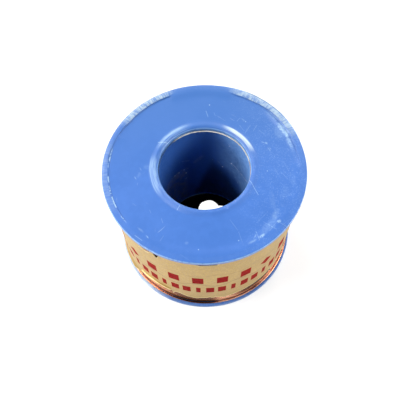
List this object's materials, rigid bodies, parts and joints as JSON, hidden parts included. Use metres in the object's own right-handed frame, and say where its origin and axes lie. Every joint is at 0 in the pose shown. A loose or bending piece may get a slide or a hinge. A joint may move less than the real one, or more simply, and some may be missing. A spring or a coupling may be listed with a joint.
{
  "type": "wire spool",
  "caption": "Moulded plastic spool of enamelled copper winding wire, two round flanges on a hollow barrel, with a paper seal band wrapped round the wire.",
  "frame": {"origin": "on the spool's axis, in the plane of the lower rim it stands on", "axes": "+Z along the spool's axis from the lower flange to the upper flange; -Y towards the front of the label, +X to its right"},
  "size_m": [0.063, 0.063, 0.0464],
  "materials": {
    "flange_blue": "satin moulded, light scuffs",
    "barrel_blue": "smooth extruded, rough cut ends",
    "copper_winding": "glossy enamelled copper",
    "copper_wire": "glossy enamelled copper",
    "gold_paper": "metallic printed paper"
  },
  "bodies": {
    "spool": {"upper_flange": "flange_blue", "lower_flange": "flange_blue", "barrel_tube": "barrel_blue", "winding_core": "copper_winding", "outer_turns": "copper_wire"},
    "wire_end": {"last_turn": "copper_wire"},
    "label": {"seal_label": "gold_paper"}
  },
  "joints": [
    {"name": "wire_payout", "type": "hinge", "parent": "spool", "child": "wire_end", "pos_m": [0, 0, 0.00248], "axis": [0, 0, 1], "continuous": true},
    {"name": "label_turn", "type": "hinge", "parent": "spool", "child": "label", "pos_m": [0, 0, 0.024], "axis": [0, 0, 1], "continuous": true}
  ]
}
